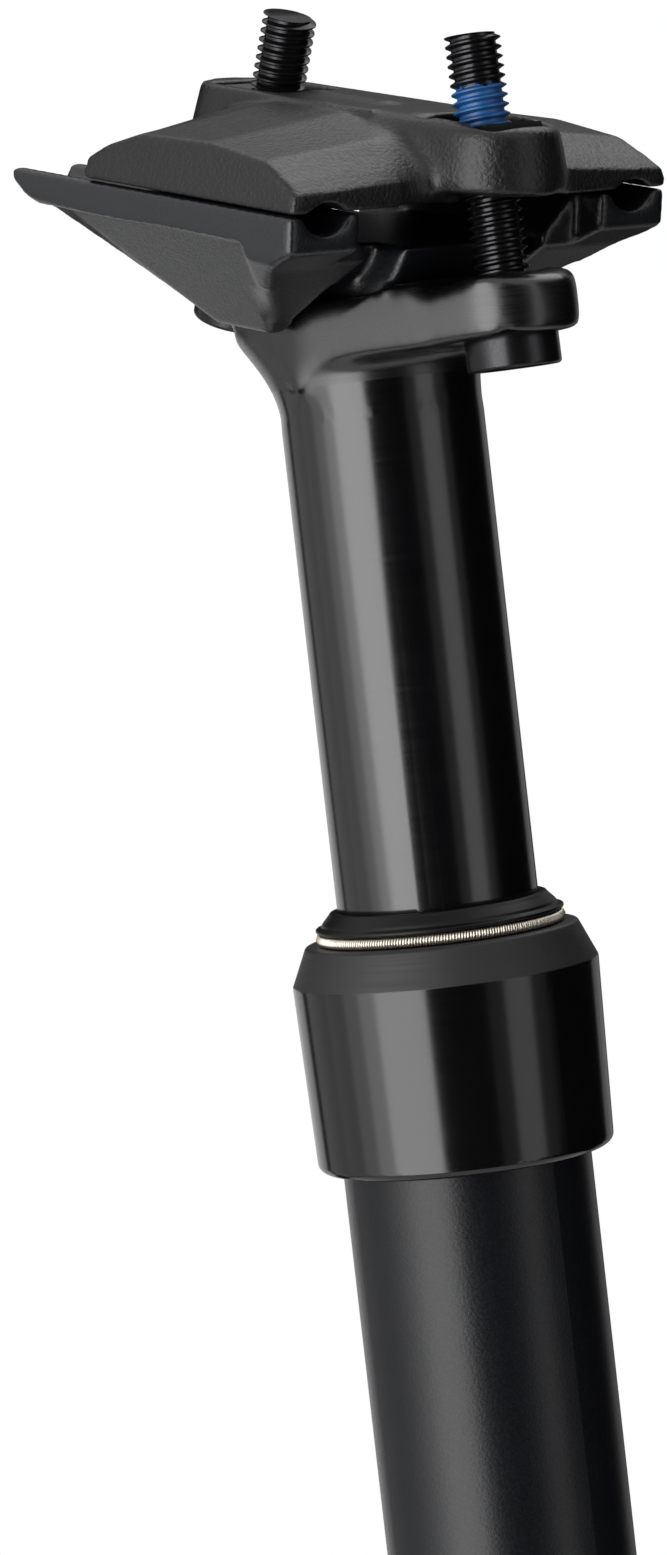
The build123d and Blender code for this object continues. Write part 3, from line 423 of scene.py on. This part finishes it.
wiper_rubber = moulded("nitrile_wiper_rubber", "#030303", "#060606", 0.40, 0.25, 0.004, ior=1.3)
seal_rubber = moulded("nitrile_seal_rubber", "#111111", "#181818", 0.45, 0.2, 0.002)
bearing_polymer = moulded("bearing_polymer", "#565654", "#4A4A48", 0.5, 0.2, 0.003)

finishes = {
    "tube_black": blasted_tube,
    "collar_black": turned_collar,
    "stanchion_black": polished_stanchion,
    "clamp_black": blasted_clamp,
    "cradle_black": satin_cradle,
    "wiper_rubber": wiper_rubber,
    "seal_rubber": seal_rubber,
    "spring_steel": spring_wire,
    "nut_steel": plated_nut,
    "washer_aluminium": turned_washer,
    "bushing_polymer": bearing_polymer,
    "key_brass": turned_brass,
    "cartridge_aluminium": turned_cartridge,
    "rod_chrome": hard_chrome,
    "foot_black": turned_foot,
    "pin_steel": bright_pin,
    "lever_steel": milled_lever,
}

# %% [markdown]
# Black oxide is a thin skin on steel, so the bolt stays a dark metal. The front bolt also carries
# a band of blue thread-locking resin. It was brushed on by hand, so its ends are ragged: the
# height along the bolt is roughened with noise before it is compared with the band's two ends.

# %% Bolt steel, with and without the blue band
swivels = {name: Vector(joints[f"bolt_{name}_swing"]["pos_m"]) for name in ("front", "rear")}
nut_places = {name: Vector(joints[f"nut_{name}_turn"]["pos_m"]) for name in ("front", "rear")}
bolt_axes = {name: (nut_places[name] - swivels[name]).normalized() for name in swivels}
OXIDE_GRAIN_MM, OXIDE_DEPTH_MM = 0.25, 0.004
BAND_LOW, BAND_HIGH = 25.6 * MM, 30.6 * MM
BAND_RAGGEDNESS = 2.2 * MM
BLOT_SIZE = 1.6 * MM


def black_oxide(name, band_from=None, band_along=None):
    """Makes black oxide steel, with a ragged band of blue resin where one is asked for."""
    material, tree, surface = new_material(name)
    normal, grain, place = grain_bump(tree, OXIDE_GRAIN_MM, OXIDE_DEPTH_MM)
    steel = add_node(tree, "ShaderNodeMix", {"data_type": "RGBA"}, {
        "Factor": grain, "A": colour("#232325"), "B": colour("#39393B"),
    })
    skin = add_node(tree, "ShaderNodeBsdfPrincipled", None, {
        "Base Color": steel.outputs["Result"], "Roughness": 0.25, "Normal": normal, "Metallic": 0.9,
    })
    if band_from is None:
        tree.links.new(skin.outputs[0], surface)
        return material
    offset = add_node(tree, "ShaderNodeVectorMath", {"operation": "SUBTRACT"}, {
        0: place, 1: band_from,
    })
    height = add_node(tree, "ShaderNodeVectorMath", {"operation": "DOT_PRODUCT"}, {
        0: offset.outputs[0], 1: band_along,
    })
    blots = add_node(tree, "ShaderNodeTexNoise", None, {
        "Vector": place, "Scale": 1 / BLOT_SIZE, "Detail": 3.0,
    })
    ragged = add_node(tree, "ShaderNodeMath", {"operation": "MULTIPLY_ADD"}, {
        0: blots.outputs["Fac"], 1: BAND_RAGGEDNESS, 2: height.outputs["Value"],
    })
    above = add_node(tree, "ShaderNodeMath", {"operation": "GREATER_THAN"}, {
        0: ragged.outputs[0], 1: BAND_LOW,
    })
    below = add_node(tree, "ShaderNodeMath", {"operation": "LESS_THAN"}, {
        0: ragged.outputs[0], 1: BAND_HIGH,
    })
    band = add_node(tree, "ShaderNodeMath", {"operation": "MULTIPLY"}, {
        0: above.outputs[0], 1: below.outputs[0],
    })
    resin_tone = add_node(tree, "ShaderNodeMix", {"data_type": "RGBA"}, {
        "Factor": blots.outputs["Fac"], "A": colour("#06264F"), "B": colour("#1B5C97"),
    })
    resin = add_node(tree, "ShaderNodeBsdfPrincipled", None, {
        "Base Color": resin_tone.outputs["Result"], "Roughness": 0.45, "Normal": normal,
    })
    both = add_node(tree, "ShaderNodeMixShader", None, {
        0: band.outputs[0], 1: skin.outputs[0], 2: resin.outputs[0],
    })
    tree.links.new(both.outputs[0], surface)
    return material


bolt_finishes = {
    "front": black_oxide("black_oxide_with_resin", swivels["front"], bolt_axes["front"]),
    "rear": black_oxide("black_oxide_steel"),
}
finishes["bolt_oxide"] = bolt_finishes["rear"]

# %% [markdown]
# Every CAD node that keeps its shape takes the finish of its record slot. The slot table is in
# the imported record, so no list of nodes is written here.

# %% Finish the CAD nodes
slots = {entry["node"]: entry["material_slot"] for entry in frame["record"]["subparts"]}
for name, node in nodes.items():
    node.data.materials.clear()
    node.data.materials.append(finishes[slots[name]])
print("finished nodes:", len(nodes))

# %% [markdown]
# The clamp, the cradle and the head are forgings: every edge is rolled over by the die and the
# blasting. A bevel would need clean edges, so the CAD shape is copied, rebuilt from even voxels
# and smoothed a few rounds, which rounds each edge by about the same amount everywhere.

# %% Soft-edged copies of the forged pieces
WELD = 0.002 * MM
SHARP_ANGLE = math.radians(50)
node_bodies = {
    node: body for body, names in frame["record"]["behaviour"]["bodies"].items() for node in names
}


def copied(name):
    """Copies a CAD node's shape into a bmesh, with its loose triangles joined."""
    shape = bmesh.new()
    shape.from_mesh(nodes[name].data)
    bmesh.ops.remove_doubles(shape, verts=shape.verts, dist=WELD)
    return shape


def as_mesh(shape):
    """Turns a bmesh into a mesh that no object shows yet."""
    mesh = bpy.data.meshes.new("carried")
    shape.to_mesh(mesh)
    shape.free()
    return mesh


def evaluated(data, voxel=None):
    """Gives the bmesh that a curve or mesh comes to, rebuilt from voxels where a size is given."""
    carrier = bpy.data.objects.new("carrier", data)
    bpy.context.scene.collection.objects.link(carrier)
    if voxel:
        remesh = carrier.modifiers.new("voxels", "REMESH")
        remesh.mode = "VOXEL"
        remesh.voxel_size = voxel
    graph = bpy.context.evaluated_depsgraph_get()
    fresh = bpy.data.meshes.new_from_object(carrier.evaluated_get(graph))
    bpy.data.objects.remove(carrier)
    shape = bmesh.new()
    shape.from_mesh(fresh)
    return shape


def open_edges(shape):
    """Gives the edges on the rims of a bmesh's openings."""
    return [e for e in shape.edges if e.is_boundary]


def cut_at(shape, height, keep_above):
    """Cuts a shape open at a height and gives the rim's edges."""
    cut = bmesh.ops.bisect_plane(
        shape, geom=shape.verts[:] + shape.edges[:] + shape.faces[:], plane_co=(0, 0, height),
        plane_no=(0, 0, 1), clear_inner=keep_above, clear_outer=not keep_above,
    )
    return picked(cut["geom_cut"], bmesh.types.BMEdge)


def soften(shape, rounds, chosen=lambda place: True):
    """Rolls the edges over by some rounds of smoothing, where a test of the place says so."""
    verts = [v for v in shape.verts if chosen(v.co)]
    for _ in range(rounds):
        bmesh.ops.smooth_vert(
            shape, verts=verts, factor=0.5, use_axis_x=True, use_axis_y=True, use_axis_z=True,
        )


def stand_for(piece, node):
    """Puts a piece in a CAD node's place and on its body, and hides the node."""
    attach(piece, node_bodies[node])
    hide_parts(node)
    print(piece.name, "faces:", len(piece.data.polygons))


def from_bolt(place, name):
    """Gives a place's distance from a bolt's axis."""
    offset = place - swivels[name]
    return (offset - bolt_axes[name] * offset.dot(bolt_axes[name])).length


# %% [markdown]
# The upper clamp's front boss is a short post that flows into both wings. Its root is smoothed
# by more rounds than the rest, which leaves a fillet there, while the boss's own rim stays.

# %% Upper clamp
CLAMP_VOXEL = 0.30 * MM
CLAMP_ROUNDS = 8
BOSS_ROUNDS = 70
BOSS_REACH = (5.3 * MM, 12.0 * MM)
clamp_place = Vector(joints["cradle_tilt"]["pos_m"])
clamp_normal = Vector(joints["clamp_lift"]["axis"])
clamp_shape = evaluated(as_mesh(copied("upper_clamp")), CLAMP_VOXEL)
soften(clamp_shape, CLAMP_ROUNDS)


def at_boss_root(place):
    """Tells whether a place is round the front boss's root."""
    return BOSS_REACH[0] < from_bolt(place, "front") < BOSS_REACH[1]


soften(clamp_shape, BOSS_ROUNDS, at_boss_root)
forged_clamp = finish_mesh("forged_clamp", clamp_shape, blasted_clamp)
stand_for(forged_clamp, "upper_clamp")

# %% [markdown]
# Each outer facet of the cradle has a scoop. It is deepest under the rail groove, where it leaves
# a soft step, and it runs out to nothing at the keel. The facet's points inside the scoop are
# pushed in by their share of the depth before the smoothing, so that the step comes out as soft
# as a forged one. The keel's nose is rounder than the other edges and gets more rounds.

# %% Lower cradle with its scoops
CRADLE_VOXEL = 0.33 * MM
CRADLE_ROUNDS = 9
NOSE_ROUNDS = 40
SCOOP_DEPTH = 1.5 * MM
SCOOP_TOP, SCOOP_FOOT = -3.3 * MM, -15.0 * MM
SCOOP_FRONT = 9.6 * MM
SCOOP_FRONT_SLOPE = 0.62
FACET_NEAR = 0.45 * MM
FACET_POINT = Vector((-29, -27, -1.75)) * MM
FACET_INWARD = Vector((0.0422, 0.6932, 0.7195))
KEEL_LOW = -8.0 * MM
KEEL_FRONT = 2.0 * MM
along_clamp = clamp_normal.cross(Vector((0, 1, 0))) * -1


def in_clamp(place):
    """Gives a place in the clamp's own directions: forward, left and up from the rails."""
    offset = place - clamp_place
    return Vector((offset.dot(along_clamp), offset.y, offset.dot(clamp_normal)))


def scoop_share(place):
    """Gives the share of the scoop's depth at a place, or 0 where it isn't in a scoop."""
    local = in_clamp(place)
    local.y = -abs(local.y)
    if abs((local - FACET_POINT).dot(FACET_INWARD)) > FACET_NEAR:
        return 0
    if local.z > SCOOP_TOP or local.x > SCOOP_FRONT + (local.z - SCOOP_TOP) * SCOOP_FRONT_SLOPE:
        return 0
    return (local.z - SCOOP_FOOT) / (SCOOP_TOP - SCOOP_FOOT)


def at_keel_nose(place):
    """Tells whether a place is at the front of the keel."""
    local = in_clamp(place)
    return local.z < KEEL_LOW and local.x > KEEL_FRONT


cradle_shape = evaluated(as_mesh(copied("lower_cradle")), CRADLE_VOXEL)
push = FACET_INWARD * SCOOP_DEPTH
pushes = [
    along_clamp * push.x + Vector((0, side * push.y, 0)) + clamp_normal * push.z for side in (1, -1)
]
for v in cradle_shape.verts:
    v.co += pushes[v.co.y > 0] * max(0, scoop_share(v.co))
soften(cradle_shape, CRADLE_ROUNDS)
soften(cradle_shape, NOSE_ROUNDS, at_keel_nose)
forged_cradle = finish_mesh("forged_cradle", cradle_shape, satin_cradle)
stand_for(forged_cradle, "lower_cradle")

# %% [markdown]
# The stanchion and its head are one forging, but only the head is soft. The copy is cut in the
# neck: what is above is rebuilt and smoothed, and the tube below keeps its exact CAD shape. The
# flange round the head's cup is rounder than the rest, so its outside gets many more rounds. The
# two halves are cut open a hair apart, and a narrow band of faces joins their rims.

# %% Stanchion with a soft head
HEAD_VOXEL = 0.38 * MM
FORGED_ROUNDS = 5
FLANGE_ROUNDS = 34
NECK_CUT = 81.2 * MM
NECK_SOFT = 82.4 * MM
NECK_OVERLAP = 1.2 * MM
NECK_BAND = 0.3 * MM
CUP_CLEAR = (13.6 * MM, 15.2 * MM)
BOLT_CLEAR = 5.2 * MM


def on_flange(place):
    """Tells whether a place is on the head's outside, away from its cup and bolt holes."""
    if place.z < NECK_SOFT or min(from_bolt(place, name) for name in swivels) < BOLT_CLEAR:
        return False
    from_cup = Vector((place.x - clamp_place.x, 0, place.z - clamp_place.z)).length
    return not CUP_CLEAR[0] < from_cup < CUP_CLEAR[1]


upper = copied("stanchion")
bmesh.ops.holes_fill(upper, edges=cut_at(upper, NECK_CUT - NECK_OVERLAP, keep_above=True))
upper = evaluated(as_mesh(upper), HEAD_VOXEL)
soften(upper, FORGED_ROUNDS, lambda place: place.z > NECK_SOFT)
soften(upper, FLANGE_ROUNDS, on_flange)
cut_at(upper, NECK_CUT + NECK_BAND, keep_above=True)
lower = copied("stanchion")
cut_at(lower, NECK_CUT, keep_above=False)
upper.from_mesh(as_mesh(lower))
rims = open_edges(upper)
bmesh.ops.bridge_loops(upper, edges=rims)
print("joined rims:", len(rims), "open edges left:", len(open_edges(upper)))
forged_stanchion = finish_mesh("forged_stanchion", upper, polished_stanchion)
forged_stanchion.data.set_sharp_from_angle(angle=SHARP_ANGLE)
stand_for(forged_stanchion, "stanchion")

# %% [markdown]
# A real M6 screw thread is a ridge that climbs 1 mm a turn. Its section, a V with a flat crest
# and root, is spun round the bolt's axis with a rise for each step. The rod is made upright,
# cut flat at both ends and capped, and then turned into its place.

# %% Threaded bolts
THREAD_PITCH = 1.0 * MM
THREAD_CREST = 2.95 * MM
THREAD_ROOT = 2.40 * MM
THREAD_STEPS = 32
THREAD_WELD = 0.004 * MM
LEAD_TURNS, SPARE_TURNS = 2, 3
FLANK_SHARES = (0, 0.18, 0.46, 0.62, 0.90, 1)
FLANK_RADII = (THREAD_ROOT, THREAD_ROOT, THREAD_CREST, THREAD_CREST, THREAD_ROOT, THREAD_ROOT)


def threaded_rod(low, high):
    """Makes an upright threaded rod between two heights, capped at both."""
    shape = bmesh.new()
    start = low - LEAD_TURNS * THREAD_PITCH
    points = [
        shape.verts.new((radius, 0, start + share * THREAD_PITCH))
        for radius, share in zip(FLANK_RADII, FLANK_SHARES)
    ]
    edges = [shape.edges.new(pair) for pair in zip(points, points[1:])]
    turns = math.ceil((high - low) / THREAD_PITCH) + SPARE_TURNS
    bmesh.ops.spin(
        shape, geom=points + edges, cent=(0, 0, 0), axis=(0, 0, 1),
        dvec=(0, 0, THREAD_PITCH / THREAD_STEPS), angle=2 * math.pi * turns,
        steps=THREAD_STEPS * turns, use_merge=False, use_duplicate=False,
    )
    bmesh.ops.remove_doubles(shape, verts=shape.verts, dist=THREAD_WELD)
    for height, keep_above in ((low, True), (high, False)):
        bmesh.ops.contextual_create(shape, geom=cut_at(shape, height, keep_above))
    bmesh.ops.recalc_face_normals(shape, faces=shape.faces)
    return shape


# %% [markdown]
# Each bolt's head is a low cylinder with a hexagon socket for a 4 mm key. The head's lower face
# is opened, a hexagon is joined to its rim, and the hexagon is drawn up into the head and closed.

# %% Bolt heads and their places
HEAD_RADIUS, HEAD_HEIGHT = 5.0 * MM, 4.0 * MM
HEAD_TOP = 4.0 * MM
HEAD_ROUND = 0.4 * MM
CORNER_ANGLE = 1.0
SOCKET_RADIUS, SOCKET_DEPTH = 2.31 * MM, 2.4 * MM
SHANK_OVERLAP = 0.2 * MM


def socket_head():
    """Makes an upright bolt head with a hexagon socket in its lower face."""
    shape = bmesh.new()
    bmesh.ops.create_cone(
        shape, cap_ends=True, segments=64, radius1=HEAD_RADIUS, radius2=HEAD_RADIUS, depth=HEAD_HEIGHT,
        matrix=Matrix.Translation((0, 0, HEAD_TOP - HEAD_HEIGHT / 2)),
    )
    corners = [e for e in shape.edges if e.calc_face_angle() > CORNER_ANGLE]
    bmesh.ops.bevel(
        shape, geom=corners, offset=HEAD_ROUND, offset_type="OFFSET", segments=3, profile=0.5,
        affect="EDGES", material=-1, clamp_overlap=True,
    )
    lowest = min(shape.faces, key=lambda face: face.calc_center_median().z)
    bmesh.ops.delete(shape, geom=[lowest], context="FACES_ONLY")
    rim = open_edges(shape)
    hexagon = bmesh.ops.create_circle(
        shape, cap_ends=False, segments=6, radius=SOCKET_RADIUS,
        matrix=Matrix.Translation((0, 0, HEAD_TOP - HEAD_HEIGHT)),
    )
    mouth = list({e for v in hexagon["verts"] for e in v.link_edges})
    bmesh.ops.bridge_loops(shape, edges=rim + mouth)
    drawn = bmesh.ops.extrude_edge_only(shape, edges=mouth)
    raised = picked(drawn["geom"], bmesh.types.BMVert)
    bmesh.ops.translate(shape, verts=raised, vec=(0, 0, SOCKET_DEPTH))
    floor_edges = [e for e in picked(drawn["geom"], bmesh.types.BMEdge) if e.is_boundary]
    bmesh.ops.contextual_create(shape, geom=floor_edges)
    bmesh.ops.recalc_face_normals(shape, faces=shape.faces)
    print("bolt head's open edges:", len(open_edges(shape)))
    return shape


for name, axis in bolt_axes.items():
    tip = max((v.co - swivels[name]).dot(axis) for v in nodes[f"{name}_bolt"].data.vertices)
    shape = socket_head()
    shape.from_mesh(as_mesh(threaded_rod(HEAD_TOP - SHANK_OVERLAP, tip)))
    piece = finish_mesh(f"{name}_threaded_bolt", shape, bolt_finishes[name])
    upright = Vector((0, 0, 1)).rotation_difference(axis).to_matrix().to_4x4()
    piece.data.transform(Matrix.Translation(swivels[name]) @ upright)
    piece.data.set_sharp_from_angle(angle=SHARP_ANGLE)
    stand_for(piece, f"{name}_bolt")

# %% [markdown]
# The garter spring is a close-wound coil whose ends are joined into a ring. It squeezes the
# rubber lip. The wire's path is a curve that a loop works out, and Blender's curve bevel gives it
# its thickness, with few sides, because there are over two hundred turns.

# %% Garter spring
GARTER_WIRE = 0.27 * MM
GARTER_TURNS = 265
POINTS_PER_TURN = 8
GARTER_RADIUS = 13.02 * MM
GARTER_COIL = 0.66 * MM
GARTER_HEIGHT = 25.28 * MM
coil_radius = GARTER_COIL - GARTER_WIRE / 2
wire = bpy.data.curves.new("garter_wire", "CURVE")
wire.dimensions = "3D"
wire.bevel_depth = GARTER_WIRE / 2
wire.bevel_resolution = 0
path = wire.splines.new("POLY")
count = GARTER_TURNS * POINTS_PER_TURN
path.points.add(count - 1)
for i in range(count):
    around = 2 * math.pi * i / count
    curl = 2 * math.pi * i / POINTS_PER_TURN
    reach = GARTER_RADIUS + coil_radius * math.cos(curl)
    height = GARTER_HEIGHT + coil_radius * math.sin(curl)
    path.points[i].co = (reach * math.cos(around), reach * math.sin(around), height, 1)
path.use_cyclic_u = True
garter = finish_mesh("wound_garter_spring", evaluated(wire), spring_wire)
stand_for(garter, "garter_spring")

# %% [markdown]
# The wiper is moulded rubber, so its lips have no sharp edge. Its section is drawn with the lips
# it has, rounded by a bevel of the corner points, and spun once round the post.

# %% Wiper seal
SPIN_STEPS = 160
CORNER_SEGMENTS = 4


def spun(section):
    """Spins a closed section round the post, with a round at each corner that has one."""
    shape = bmesh.new()
    points = [shape.verts.new((reach * MM, 0, height * MM)) for reach, height, _ in section]
    for a, b in zip(points, points[1:] + points[:1]):
        shape.edges.new((a, b))
    for point, (_, _, radius) in zip(points, section):
        if radius:
            bmesh.ops.bevel(
                shape, geom=[point], offset=radius * MM, offset_type="OFFSET",
                segments=CORNER_SEGMENTS, profile=0.5, affect="VERTICES", material=-1, clamp_overlap=True,
            )
    bmesh.ops.spin(
        shape, geom=shape.verts[:] + shape.edges[:], cent=(0, 0, 0), axis=(0, 0, 1), angle=2 * math.pi,
        steps=SPIN_STEPS, use_merge=True, use_duplicate=False,
    )
    bmesh.ops.remove_doubles(shape, verts=shape.verts, dist=WELD)
    bmesh.ops.recalc_face_normals(shape, faces=shape.faces)
    return shape


# Each corner's distance from the axis, its height and its round, in millimetres.
WIPER_SECTION = (
    (11.35, 20.4, 0.2),
    (13.10, 20.4, 0.2),
    (13.10, 24.55, 0.1),
    (12.35, 24.6, 0),
    (12.30, 26.0, 0.1),
    (13.55, 26.02, 0.16),
    (13.60, 26.42, 0.16),
    (12.95, 26.60, 0.1),
    (12.80, 26.95, 0.1),
    (12.05, 27.75, 0.15),
    (11.80, 28.08, 0.1),
    (11.05, 28.10, 0.05),
    (11.05, 25.9, 0),
    (11.35, 24.6, 0),
)
wiper = finish_mesh("moulded_wiper", spun(WIPER_SECTION), wiper_rubber)
stand_for(wiper, "wiper_seal")

# %% View transform
bpy.context.scene.view_settings.view_transform = "Standard"
